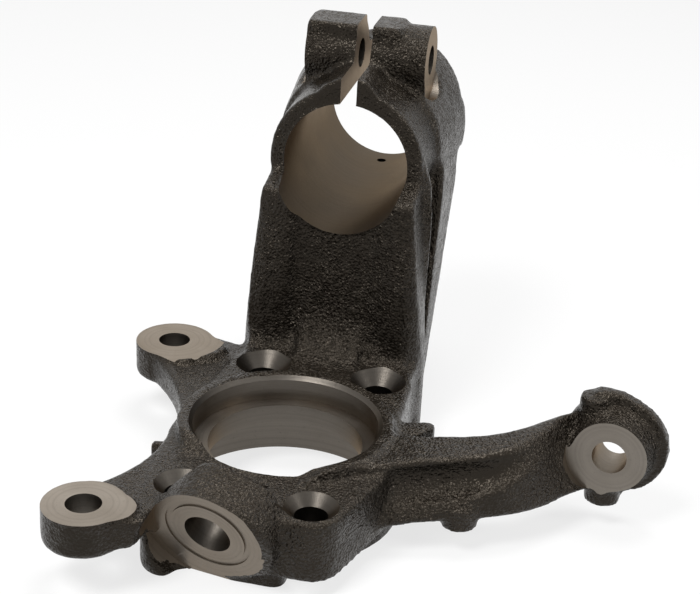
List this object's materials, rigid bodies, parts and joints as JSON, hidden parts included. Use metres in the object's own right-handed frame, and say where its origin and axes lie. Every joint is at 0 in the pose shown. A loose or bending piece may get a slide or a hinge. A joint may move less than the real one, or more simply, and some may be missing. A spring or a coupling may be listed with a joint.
{
  "type": "steering knuckle",
  "caption": "Cast steering knuckle with a stepped hub bore, caliper ears, a split strut clamp, a ball-joint boss and a steering arm.",
  "frame": {"origin": "hub axis at the plane of the outboard seat that the part rests on", "axes": "+Z along the hub axis to the inboard rim, +Y towards the strut clamp, +X towards the steering arm"},
  "size_m": [0.2426, 0.2722, 0.1761],
  "materials": {
    "cast": "satin"
  },
  "bodies": {
    "root": {"knuckle": "cast"}
  },
  "joints": []
}
